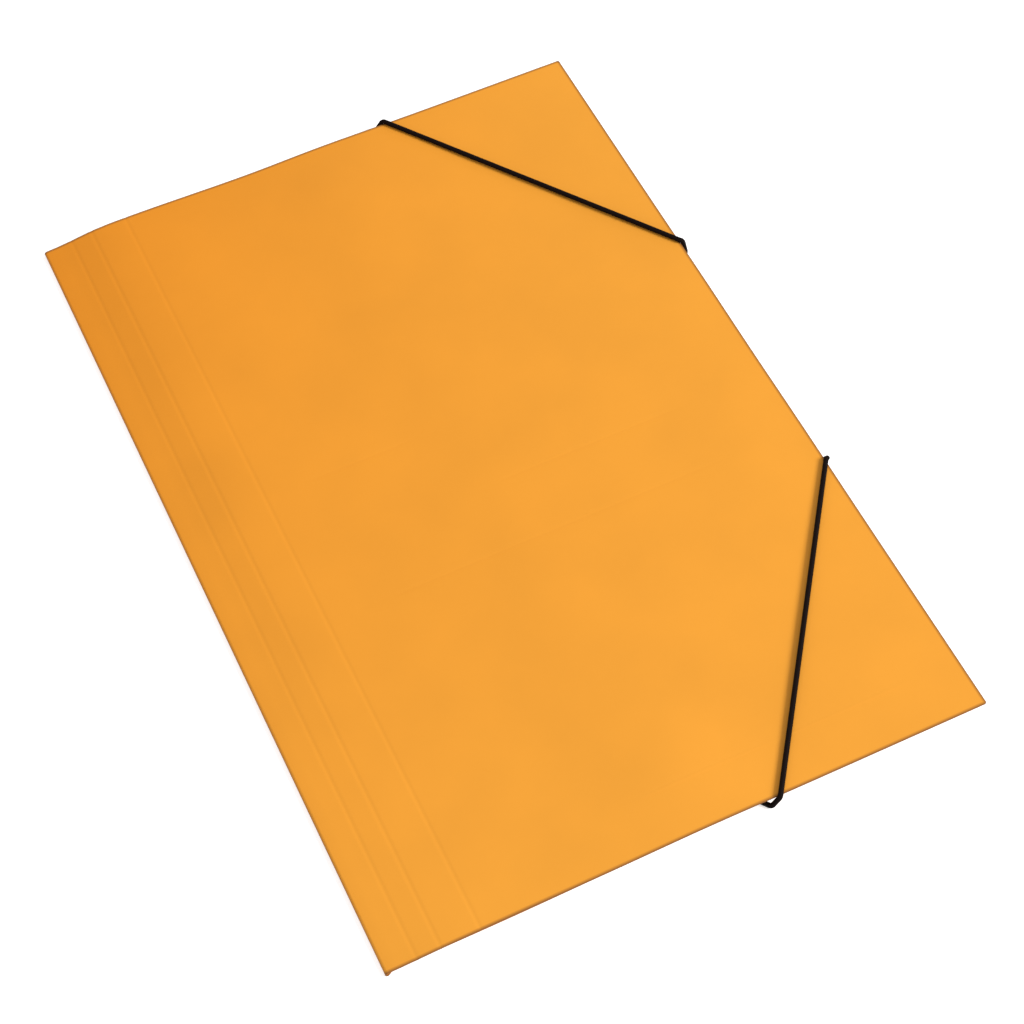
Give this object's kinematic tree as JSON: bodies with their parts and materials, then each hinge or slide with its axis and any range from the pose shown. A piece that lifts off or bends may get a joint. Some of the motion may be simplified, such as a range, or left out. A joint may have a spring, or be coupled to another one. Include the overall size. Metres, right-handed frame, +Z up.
{
  "type": "three flap folder",
  "caption": "Closed card document folder with inner flaps at head, foot and fore edge, creased spine and round elastic cords across its fore-edge corners.",
  "frame": {"origin": "centre of the folder's outline, at the surface it lies on", "axes": "+X from the spine to the fore edge, +Y from the foot to the head, +Z up out of the front cover"},
  "size_m": [0.2382, 0.3586, 0.0072],
  "materials": {
    "card": "smooth satin coloured card",
    "elastic": "matt braided cover over a rubber core",
    "crimped_metal": "plain nickel-plated steel"
  },
  "bodies": {
    "root": {"folder_sheet": "card", "elastic_head": "elastic", "elastic_foot": "elastic", "metal_end_head_edge": "crimped_metal", "metal_end_head_fore": "crimped_metal", "metal_end_foot_edge": "crimped_metal", "metal_end_foot_fore": "crimped_metal"}
  },
  "joints": []
}
